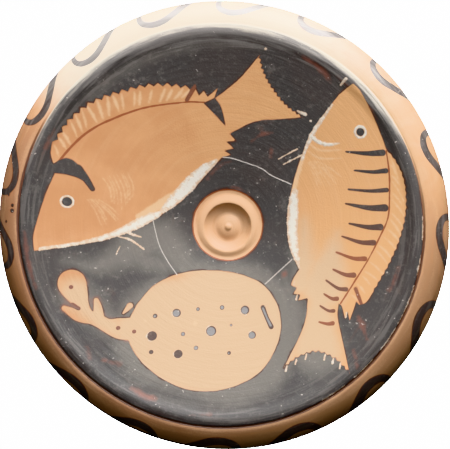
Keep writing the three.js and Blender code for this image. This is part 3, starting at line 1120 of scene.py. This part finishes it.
    def well(self) -> list[Stretch]:
        """Returns the collar, channel and ring round the well, and the well with its boss."""
        channel_height = self.floor_inner_height - self.channel_depth
        collar = at(self.collar_radius, self.floor_height(self.collar_radius))
        channel_outer = at(self.channel_radius + self.channel_width, channel_height)
        channel_inner = at(self.channel_radius, channel_height)
        crest_outer = at(self.well_radius + self.ring_crest_width, self.crest_height - self.ring_rise / 2)
        crest_inner = at(self.well_radius, crest_outer.z)
        crest_top = at(self.well_radius + self.ring_crest_width / 2, self.crest_height + self.ring_rise / 6)
        bottom = at(self.well_bottom_radius, self.well_bottom_height)
        wall_handle = at(self.well_radius - self.well_wall_run / 12, crest_inner.z - self.well_depth / 2)
        bottom_handle = at(bottom.x + self.well_wall_run / 2, bottom.z + self.well_depth / 8)
        boss_top = at(self.nipple_radius, self.well_bottom_height + self.boss_height)
        boss_handle = at((bottom.x + boss_top.x) / 2, boss_top.z)
        nipple_top = at(0, boss_top.z + self.nipple_height)
        return [
            straight(collar, channel_outer, 2),
            straight(channel_outer, channel_inner, 1),
            straight(channel_inner, crest_outer, 3),
            rounded(crest_outer, crest_top, crest_inner, 4),
            Stretch(crest_inner, wall_handle, bottom_handle, bottom, 8),
            Stretch(bottom, bottom.lerp(boss_top, 1 / 3), boss_handle, boss_top, 6),
            rounded(boss_top, at(boss_top.x, nipple_top.z), nipple_top, 3),
        ]

    def length_at(self, station: float | np.ndarray) -> np.ndarray:
        """Returns how far along the profile a station lies, in mm."""
        return np.interp(station, self.fine_stations, self.fine_lengths)

    def places(self, stations: np.ndarray, angles: np.ndarray) -> Places:
        """Says where on the dish points lie.

        Args:
            stations: Their stations on the profile.
            angles: Their angles round the wheel's axis, in radians.

        Returns:
            The same points as a painter would say it.
        """
        radius = np.interp(stations, self.fine_stations, self.fine_profile[:, 0])
        along = self.length_at(stations)
        lengths = {name: self.length_at(station) for name, station in self.landmarks.items()}
        plan = np.stack([radius * np.cos(angles), radius * np.sin(angles)], axis=1)
        foot = np.minimum(along - lengths["foot_edge"], lengths["stem_top"] - along)
        return Places(plan, angles, lengths["groove"] - along, foot)

    def spun(self) -> bmesh.types.BMesh:
        """Spins the profile round the wheel's axis, with each point's station on it kept as a layer."""
        mesh = bmesh.new()
        station = mesh.verts.layers.float.new("station")
        points = [self.stretches[0].start]
        for stretch in self.stretches:
            points.extend(stretch.points(1))
        rings = []
        for step in range(self.steps_around):
            turn = Matrix.Rotation(2 * math.pi * step / self.steps_around, 3, "Z")
            rings.append([mesh.verts.new(turn @ point) for point in points])
            for number, vertex in enumerate(rings[-1]):
                vertex[station] = number
        # the quads are laid one by one, because a spin by bmesh puts them in another order in each run
        for ring, after in zip(rings, [*rings[1:], rings[0]]):
            for quad in zip(ring, after, after[1:], ring[1:]):
                mesh.faces.new(quad)
        bmesh.ops.remove_doubles(mesh, verts=mesh.verts, dist=1e-3)
        bmesh.ops.recalc_face_normals(mesh, faces=mesh.faces)
        return mesh

    def refine(self, mesh: bmesh.types.BMesh) -> None:
        """Divides the mesh where painted edges cross it.

        Args:
            mesh: The spun dish, which is changed.
        """
        station = mesh.verts.layers.float["station"]
        for _ in range(self.levels):
            faces = list(mesh.faces)
            middles = np.array([face.calc_center_median()[:2] for face in faces])
            sizes = np.sqrt([face.calc_area() for face in faces])
            stations = np.array([sum(vert[station] for vert in face.verts) / len(face.verts) for face in faces])
            places = self.places(stations, np.arctan2(middles[:, 1], middles[:, 0]))
            wanted = self.painting.wants_finer(places, sizes)
            edges = dict.fromkeys(edge for face, coarse in zip(faces, wanted) if coarse for edge in face.edges)
            bmesh.ops.subdivide_edges(mesh, edges=list(edges), cuts=1, use_grid_fill=True)

    def with_worn_groove(self, places: Places, heights: np.ndarray) -> np.ndarray:
        """Raises the groove's bottom towards its edges where wear has all but closed it.

        Args:
            places: The mesh's vertices.
            heights: Their heights in mm.

        Returns:
            Their heights with the worn groove.
        """
        start = self.groove_radius - self.groove_width / 2
        share_across = (np.hypot(*places.plan.T) - start) / self.groove_width
        in_groove = (share_across > 0) & (share_across < 1) & (np.abs(places.down) < 2 * self.groove_width)
        roll, fall = self.shoulder_roll / 2, self.groove_depth / 3
        closed = self.height - roll - share_across * (roll + fall)
        wear_and_highlight = np.clip(self.painting.wear_and_highlight.depth(places) / self.closing_wear, 0, 1 - self.groove_left)
        return np.where(in_groove, heights + wear_and_highlight * (closed - heights), heights)

    def warped(self, wheel: np.ndarray, is_well: np.ndarray) -> np.ndarray:
        """Pulls the dish out of round as the potter's hands left it, and centres it.

        Args:
            wheel: The points about the wheel's axis, in mm.
            is_well: Which of them are on the upper face.

        Returns:
            The points in the shared frame, in mm.
        """
        radius = np.hypot(wheel[:, 0], wheel[:, 1])

        def eased(start: float, end: float) -> np.ndarray:
            """Returns the share from start to end that each radius has passed, eased at both."""
            share = np.clip((radius - start) / (end - start), 0, 1)
            return share * share * (3 - 2 * share)

        rim_share = eased(self.foot_radius, self.groove_radius)
        well_share = np.where(is_well, 1 - eased(self.well_radius, self.collar_radius), 0)
        turn = math.radians(self.rim_oval_angle)
        stretch = self.rim_oval * rim_share * (wheel[:, 0] * math.cos(turn) + wheel[:, 1] * math.sin(turn))
        points = wheel.copy()
        points[:, 0] += stretch * math.cos(turn) - self.rim_drift * rim_share
        points[:, 1] += stretch * math.sin(turn) - self.well_drift * well_share
        middle = (points.min(axis=0) + points.max(axis=0)) / 2
        points[:, :2] -= middle[:2]
        return points

    def build(self, finish: bpy.types.Material) -> bpy.types.Object:
        """Makes the dish as one painted piece that stands for the plain solid.

        Args:
            finish: The painted clay.

        Returns:
            The dish's object.
        """
        shell = self.spun()
        self.refine(shell)
        bmesh.ops.triangulate(shell, faces=[face for face in shell.faces if len(face.verts) > 4])
        data = bpy.data.meshes.new("painted_plate")
        shell.to_mesh(data)
        shell.free()
        spun = np.empty(len(data.vertices) * 3)
        data.vertices.foreach_get("co", spun)
        spun = spun.reshape(-1, 3)
        stations = np.empty(len(data.vertices))
        data.attributes["station"].data.foreach_get("value", stations)
        angles = np.arctan2(spun[:, 1], spun[:, 0])
        places = self.places(stations, angles)
        heights = np.interp(stations, self.fine_stations, self.fine_profile[:, 1])
        wheel = np.column_stack([places.plan, self.with_worn_groove(places, heights)])
        points = self.warped(wheel, places.down < 0) * METRES
        data.vertices.foreach_set("co", points.ravel())
        data.attributes.remove(data.attributes["station"])
        layers = self.painting.layers(places)
        layers["down"] = places.down
        layers["radius"] = np.hypot(*places.plan.T)
        layers["across"] = places.plan[:, 0]
        for name, values in layers.items():
            layer = data.attributes.new(name, "FLOAT", "POINT")
            layer.data.foreach_set("value", values.astype(np.float32))
        on_wheel = data.attributes.new("wheel", "FLOAT_VECTOR", "POINT")
        on_wheel.data.foreach_set("vector", wheel.astype(np.float32).ravel())
        data.shade_smooth()
        data.materials.append(finish)
        data.update()
        plate = bpy.data.objects.new("painted_plate", data)
        bpy.context.scene.collection.objects.link(plate)
        LOG.info("dish: %d vertices, %d faces", len(data.vertices), len(data.polygons))
        return plate


@dataclass(frozen=True)
class PaintedClay:
    """Red-firing earthenware with a dark slip, burnished on the wheel and painted by brush.

    The clay is warm and nearly matt, with fine grit and turning lines; it is painted paler towards +X
    and over the lip's head, where the colour stands for light. The slip has a low sheen, goes grey where
    wear and a grey film lie and where painted sheen stands for the lamps' reflection, and red-brown where
    it lies thin. The white is chalky and flakes.
    """

    clay: str = "#D19C70"
    clay_deep: str = "#C89165"
    clay_pale: str = "#DDB58F"
    # painted light: paler clay towards +X, on the side of the floor that the lamps leave darker
    clay_painted_lit: str = "#DAA878"
    clay_rosy: str = "#E2BD9C"
    clay_dulled: str = "#967360"
    # clay under the grey film, partly painted sheen
    clay_chalky_and_sheen: str = "#CDB192"
    # clay painted pale over the lip's head: wear with a painted highlight
    clay_washed_and_lit: str = "#DDD2C1"
    slip: str = "#4E4B4A"
    slip_streak: str = "#595551"
    slip_mottle: str = "#77726E"
    slip_brown: str = "#5C4A45"
    slip_line: str = "#3B3230"
    # slip under the grey film, partly painted sheen
    slip_chalky_and_sheen: str = "#958F86"
    # slip painted grey over the lip's head: wear with a painted reflection of the lamps
    slip_rubbed_and_sheen: str = "#8E8986"
    umber: str = "#5B4038"
    orange: str = "#AF6542"
    red: str = "#8D5A4C"
    line: str = "#99583A"
    groove: str = "#593B35"
    white: str = "#DAD4CA"
    white_worn: str = "#D3B79C"
    pale: str = "#E3C7A2"
    lime: str = "#C9C0B7"
    film: str = "#8C9193"
    clay_roughness: float = 0.5
    slip_roughness: float = 0.4
    haze_roughness: float = 0.5
    white_roughness: float = 0.75
    roughness_swing: float = 0.2
    gloss: float = 0.6  # a burnished face mirrors more than a plain one
    cloud_size: float = 26.0  # mm, of the fire's broad stains
    blotch_size: float = 9.0
    hand_size: float = 4.0  # mm, of the brush's unsteadiness
    flake_size: float = 2.2
    grit_size: float = 0.9  # mm, drawn coarser than real so that it shows
    speck_size: float = 1.3
    turning_pitch: float = 1.6  # mm between turning lines
    brush_pitch: float = 3.2  # mm between the slip's brush lines

    def build(self) -> bpy.types.Material:
        """Builds the material.

        Returns:
            The material, which reads the dish's own attributes.
        """
        material = bpy.data.materials.new("slip_painted_earthenware")
        material.use_nodes = True
        tree = material.node_tree
        tree.nodes.clear()
        layers = {}
        for name in [*(paint.value for paint in Paint), "rubbed_and_lit", "tone", "down", "radius", "across"]:
            layers[name] = add_node(tree, "ShaderNodeAttribute", attribute_name=name).outputs["Fac"]
        noises = self.noises(tree, layers["radius"])
        masks = self.masks(tree, layers, noises)
        shader = add_node(
            tree,
            "ShaderNodeBsdfPrincipled",
            {
                "Base Color": self.colour(tree, masks),
                "Roughness": self.roughness(tree, masks, noises),
                "Normal": self.relief(tree, masks, noises),
                "IOR": 1.5,
                "Specular IOR Level": self.gloss,
            },
        )
        add_node(tree, "ShaderNodeOutputMaterial", {"Surface": shader.outputs["BSDF"]})
        return material

    def noises(self, tree: bpy.types.NodeTree, radius: bpy.types.NodeSocket) -> dict[str, bpy.types.NodeSocket]:
        """Adds the patterns that the finish draws on, each centred on 0.

        Args:
            tree: The material's node tree.
            radius: The distance from the wheel's axis, in mm.

        Returns:
            The patterns by name.
        """
        wheel = add_node(tree, "ShaderNodeAttribute", attribute_name="wheel").outputs["Vector"]
        axes = add_node(tree, "ShaderNodeSeparateXYZ", {0: wheel})
        squeeze = 14.0  # how much finer a turned line is across than along
        across = add_node(tree, "ShaderNodeMath", {0: radius, 1: squeeze}, operation="MULTIPLY")
        inputs = {0: across.outputs[0], 1: axes.outputs[0], 2: axes.outputs[1]}
        turned = add_node(tree, "ShaderNodeCombineXYZ", inputs)
        # what a pattern runs along, its size in mm, its detail, roughness and distortion
        patterns = {
            "cloud": (wheel, self.cloud_size, 3.0, 0.55, 0.3),
            "blotch": (wheel, self.blotch_size, 4.0, 0.6, 0.8),
            "hand": (wheel, self.hand_size, 2.0, 0.5, 0.0),
            "flake": (wheel, self.flake_size, 4.0, 0.65, 0.0),
            "grit": (wheel, self.grit_size, 2.0, 0.6, 0.0),
            "speck": (wheel, self.speck_size, 0.0, 0.5, 0.0),
            "turning": (turned.outputs[0], squeeze * self.turning_pitch, 3.0, 0.6, 0.0),
            "brush": (turned.outputs[0], squeeze * self.brush_pitch, 4.0, 0.62, 0.0),
        }
        noises = {}
        for name, (vector, size, detail, roughness, distortion) in patterns.items():
            inputs = {"Vector": vector, "Scale": 1 / size, "Detail": detail}
            inputs |= {"Roughness": roughness, "Distortion": distortion}
            noise = add_node(tree, "ShaderNodeTexNoise", inputs)
            centred = add_node(tree, "ShaderNodeMath", {0: noise.outputs["Fac"], 1: 0.5}, operation="SUBTRACT")
            noises[name] = centred.outputs[0]
        return noises

    def masks(
        self,
        tree: bpy.types.NodeTree,
        layers: dict[str, bpy.types.NodeSocket],
        noises: dict[str, bpy.types.NodeSocket],
    ) -> dict[str, bpy.types.NodeSocket]:
        """Turns depths and patterns into masks from 0 to 1.

        Args:
            tree: The material's node tree.
            layers: The depths by name.
            noises: The patterns by name.

        Returns:
            The masks by name.
        """
        # what is read, the pattern that unsettles it and by how much, and where it starts and is whole
        rules = {
            "slip": (layers["slip"], "hand", 0.45, -0.1, 0.14),
            "halo": (layers["slip"], "blotch", 1.6, -0.35, 0.0),
            "deep": (layers["slip"], "blotch", 3.6, -0.1, 0.75),
            "white": (layers["white"], "flake", 1.7, -0.15, 0.25),
            "white_whole": (layers["white"], "flake", 6.0, 0.1, 1.7),
            "pale": (layers["pale"], "flake", 1.4, -0.4, 0.9),
            "line": (layers["line"], "hand", 0.5, -0.16, 0.22),
            "crack": (layers["crack"], "grit", 0.3, -0.16, 0.12),
            "thin": (layers["thin_slip"], "blotch", 4.5, -0.4, 2.2),
            "film": (layers["bloom"], "hand", 0.3, -0.2, 0.3),
            # the grey film, partly painted sheen
            "haze_and_sheen": (layers["haze_and_sheen"], "blotch", 5.0, -3.0, 8.0),
            "off_figures": (layers["clay"], "hand", 0.3, 0.5, -0.2),
            # wear over the lip's head with a painted highlight and reflection
            "rubbed_and_lit": (layers["rubbed_and_lit"], "turning", 13.0, -0.5, 7.5),
            "washed_and_lit": (layers["rubbed_and_lit"], "blotch", 1.5, 0.3, 5.2),
            "brim": (layers["down"], "hand", 0.4, -2.4, -1.4),
            "kerb": (layers["down"], "turning", 9.0, -4.6, -1.2),
            # away from the wear and the painted highlight
            "unworn_and_unlit": (layers["rubbed_and_lit"], "hand", 0.5, 2.5, -0.5),
            "mottle": (noises["flake"], "blotch", 0.6, 0.0, 0.3),
            "cloud": (noises["cloud"], "hand", 0.05, -0.14, 0.16),
            # painted light: a ramp from -X to +X that pales the clay
            "painted_lit_right": (layers["across"], "cloud", 40.0, -70.0, 70.0),
            "misfired": (noises["blotch"], "brush", 0.6, 0.1, 0.34),
            "streak": (noises["brush"], "grit", 0.3, -0.04, 0.22),
            "turned_line": (noises["turning"], "grit", 0.1, 0.0, 0.13),
            "dark_streak": (noises["brush"], "hand", 0.2, -0.02, -0.22),
            "speck": (noises["speck"], "blotch", 0.5, 0.32, 0.38),
            "grit": (noises["grit"], "hand", 0.0, 0.08, 0.25),
            "centre": (layers["radius"], "hand", 0.8, 18.0, 16.6),
            "shoulder": (layers["down"], "blotch", 3.0, -17.0, -8.0),
            "outside": (layers["down"], "hand", 0.4, 0.0, 0.6),
            "groove_low": (layers["down"], "hand", 0.5, -1.5, -0.9),
            "groove_high": (layers["down"], "hand", 0.5, 0.5, 0.0),
        }
        masks = {"tone": layers["tone"]}
        for name, (source, pattern, amount, start, whole) in rules.items():
            moved = add_node(
                tree, "ShaderNodeMath", {0: noises[pattern], 1: amount, 2: source}, operation="MULTIPLY_ADD"
            )
            masks[name] = add_node(
                tree,
                "ShaderNodeMapRange",
                {"Value": moved.outputs[0], "From Min": start, "From Max": whole},
                interpolation_type="SMOOTHSTEP",
            ).outputs[0]
        return masks

    def colour(self, tree: bpy.types.NodeTree, masks: dict[str, bpy.types.NodeSocket]) -> bpy.types.NodeSocket:
        """Lays the coats of colour over each other.

        Args:
            tree: The material's node tree.
            masks: Where each coat lies.

        Returns:
            The colour.
        """
        # each mixture's ground, then its coats: the masks that bound a coat, its strength and its colour
        mixtures = {
            "clay": (
                self.clay_deep,
                (("cloud",), 1.0, self.clay),
                # painted light: clay paler towards +X
                (("painted_lit_right",), 1.0, self.clay_painted_lit),
                (("centre",), 0.5, self.clay_rosy),
                (("dark_streak", "centre"), 0.5, self.clay_deep),
                (("outside", "unworn_and_unlit"), 0.55, self.clay_dulled),
                (("streak",), 0.14, self.clay_pale),
                (("streak", "outside"), 0.2, self.clay_pale),
                (("dark_streak", "outside"), 0.4, self.clay_deep),
                (("grit",), 0.14, self.clay_deep),
                # grey film, partly painted sheen
                (("haze_and_sheen",), 0.85, self.clay_chalky_and_sheen),
                # clay painted pale over the lip's head: wear with a painted highlight
                (("washed_and_lit", "brim"), 0.9, self.clay_washed_and_lit),
            ),
            "slip": (
                self.slip,
                (("mottle",), 0.6, self.slip_mottle),
                (("grit",), 0.3, self.slip_mottle),
                (("streak",), 0.12, self.slip_streak),
                (("streak", "shoulder"), 0.6, self.slip_streak),
                (("dark_streak", "shoulder"), 0.7, self.slip_line),
                (("turned_line", "shoulder"), 0.5, self.slip_mottle),
                (("misfired",), 0.6, self.slip_brown),
                (("cloud",), 0.15, self.slip_brown),
                # grey film, partly painted sheen, on the slip off the figures
                (("haze_and_sheen", "off_figures"), 0.5, self.slip_chalky_and_sheen),
                (("thin",), 0.7, self.red),
                (("film",), 1.0, self.film),
            ),
            "edged slip": (
                self.umber,
                (("deep",), 1.0, "slip"),
                (("tone",), 1.0, self.orange),
                # slip painted grey over the lip's head, wear with a painted reflection; the groove's head
                # painted pale
                (("rubbed_and_lit",), 0.85, self.slip_rubbed_and_sheen),
                (("washed_and_lit", "kerb", "groove_high"), 0.6, self.clay_washed_and_lit),
            ),
            "surface": (
                "clay",
                (("pale",), 0.6, self.pale),
                (("line",), 1.0, self.line),
                (("halo", "unworn_and_unlit"), 0.5, self.orange),
                (("slip",), 1.0, "edged slip"),
                (("speck", "slip"), 0.65, self.lime),
                (("groove_low", "groove_high", "unworn_and_unlit"), 0.9, self.groove),
                (("white",), 1.0, self.white_worn),
                (("white_whole",), 1.0, self.white),
                (("crack",), 0.8, self.lime),
            ),
        }
        mixed: dict[str, bpy.types.NodeSocket] = {}
        for name, (ground, *coats) in mixtures.items():
            colour = mixed[ground] if ground in mixed else linear(ground)
            for bounds, strength, coat in coats:
                share = strength
                for bound in bounds:
                    inputs = {0: masks[bound], 1: share}
                    share = add_node(tree, "ShaderNodeMath", inputs, operation="MULTIPLY").outputs[0]
                over = mixed[coat] if coat in mixed else linear(coat)
                layered = add_node(tree, "ShaderNodeMix", {0: share, 6: colour, 7: over}, data_type="RGBA")
                colour = layered.outputs[2]
            mixed[name] = colour
        return mixed["surface"]

    def roughness(
        self,
        tree: bpy.types.NodeTree,
        masks: dict[str, bpy.types.NodeSocket],
        noises: dict[str, bpy.types.NodeSocket],
    ) -> bpy.types.NodeSocket:
        """Returns the roughness: a low sheen on clay and slip alike, and chalky white."""
        rough = self.clay_roughness
        coats = {"slip": self.slip_roughness, "haze_and_sheen": self.haze_roughness, "white_whole": self.white_roughness}
        for name, over in coats.items():
            coat = add_node(tree, "ShaderNodeMix", {0: masks[name], 2: rough, 3: over}, data_type="FLOAT")
            rough = coat.outputs[0]
        inputs = {0: noises["flake"], 1: self.roughness_swing, 2: rough}
        return add_node(tree, "ShaderNodeMath", inputs, operation="MULTIPLY_ADD").outputs[0]

    def relief(
        self,
        tree: bpy.types.NodeTree,
        masks: dict[str, bpy.types.NodeSocket],
        noises: dict[str, bpy.types.NodeSocket],
    ) -> bpy.types.NodeSocket:
        """Returns the normal: turning lines, grit, brush ridges, and cracks sunk into the surface."""
        normal = None
        steps = (
            (noises["turning"], 0.07),
            (noises["brush"], 0.05),
            (noises["grit"], 0.05),
            (masks["slip"], 0.03),
            (masks["white_whole"], 0.06),
            (masks["crack"], -0.12),
        )
        for height, millimetres in steps:
            inputs = {"Height": height, "Distance": millimetres * METRES, "Strength": 1.0}
            if normal is not None:
                inputs["Normal"] = normal
            normal = add_node(tree, "ShaderNodeBump", inputs).outputs[0]
        return normal


@dataclass(frozen=True)
class SoftLight:
    """A soft box over the table, aimed at the plate.

    Attributes:
        lean: Degrees from straight above to the light's middle.
        turn: Degrees from +Y towards +X at which it stands.
        width: Its width in metres.
        height: Its height in metres.
        brightness: Its radiance.
    """

    lean: float
    turn: float
    width: float
    height: float
    brightness: float


@dataclass
class Studio:
    """A plain pale table, soft light from behind the plate, and the camera above it."""

    aim: tuple[float, float, float] = (1.0, 0.25, 34.5)  # mm, what the middle of the picture shows
    tilt: float = 8.0  # degrees that the view leans to the right
    distance: float = 2500.0
    view_width: float = 221.2  # mm across the picture, at the aim
    sensor: float = 36.0
    light_distance: float = 1.3
    window: SoftLight = SoftLight(63.0, 17.0, 1.4, 0.95, 10.3)
    backdrop: SoftLight = SoftLight(82.5, -2.0, 1.5, 0.3, 13.0)
    overhead: SoftLight = SoftLight(21.0, -6.0, 0.5, 0.5, 6.0)
    fill: float = 0.035
    table_grey: str = "#8C8C8C"
    table_roughness: float = 0.9
    table_glow: float = 12.0
    table_size: float = 3.0  # metres

    def camera(self) -> None:
        """Adds the camera and looks through it."""
        lean = math.radians(self.tilt)
        back = Vector((math.sin(lean), 0.0, math.cos(lean)))
        right = Vector((math.cos(lean), 0.0, -math.sin(lean)))
        up = Vector((0.0, 1.0, 0.0))
        lens = bpy.data.cameras.new("camera")
        lens.sensor_width = self.sensor
        lens.lens = self.sensor * self.distance / self.view_width
        lens.clip_end = 20.0
        camera = bpy.data.objects.new("camera", lens)
        place = (Vector(self.aim) + self.distance * back) * METRES
        camera.matrix_world = Matrix.Translation(place) @ Matrix((right, up, back)).transposed().to_4x4()
        bpy.context.scene.collection.objects.link(camera)
        bpy.context.scene.camera = camera

    def lights(self) -> None:
        """Adds the low window light, the light overhead and a faint fill from all round."""
        for name in ("window", "backdrop", "overhead"):
            light: SoftLight = getattr(self, name)
            box = bpy.data.lights.new(name, "AREA")
            box.shape = "RECTANGLE"
            box.size = light.width
            box.size_y = light.height
            box.energy = light.brightness * math.pi * light.width * light.height
            lamp = bpy.data.objects.new(name, box)
            lean, turn = math.radians(light.lean), math.radians(light.turn)
            towards = Vector((math.sin(lean) * math.sin(turn), math.sin(lean) * math.cos(turn), math.cos(lean)))
            lamp.location = towards * self.light_distance
            lamp.rotation_euler = towards.to_track_quat("Z", "Y").to_euler()
            bpy.context.scene.collection.objects.link(lamp)
        world = bpy.data.worlds.new("studio")
        world.use_nodes = True
        background = world.node_tree.nodes["Background"]
        background.inputs["Color"].default_value = (1.0, 1.0, 1.0, 1.0)
        background.inputs["Strength"].default_value = self.fill
        bpy.context.scene.world = world
        bpy.context.scene.view_settings.view_transform = "Khronos PBR Neutral"

    def table(self) -> None:
        """Adds the white table that the plate stands on, bright enough to fill the picture."""
        surface = bpy.data.materials.new("white_table")
        surface.use_nodes = True
        shader = surface.node_tree.nodes["Principled BSDF"]
        shader.inputs["Base Color"].default_value = linear(self.table_grey)
        shader.inputs["Roughness"].default_value = self.table_roughness
        shader.inputs["Emission Color"].default_value = (1.0, 1.0, 1.0, 1.0)
        shader.inputs["Emission Strength"].default_value = self.table_glow
        mesh = bmesh.new()
        bmesh.ops.create_grid(mesh, x_segments=1, y_segments=1, size=self.table_size)
        data = bpy.data.meshes.new("table")
        mesh.to_mesh(data)
        mesh.free()
        data.materials.append(surface)
        table = bpy.data.objects.new("table", data)
        table.visible_diffuse = False
        table.visible_glossy = False
        bpy.context.scene.collection.objects.link(table)

    def build(self) -> None:
        """Sets up the camera, the lights and the table."""
        self.camera()
        self.lights()
        self.table()


def main() -> None:
    """Builds the plate and the studio."""
    logging.basicConfig(level=logging.INFO)
    Studio().build()
    plate = ThrownPlate(Painting()).build(PaintedClay().build())
    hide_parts(CLAY_NODE)
    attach(plate, "root")
    LOG.info("%s rides on root and stands for %s", plate.name, CLAY_NODE)


if __name__ == "__main__":
    main()
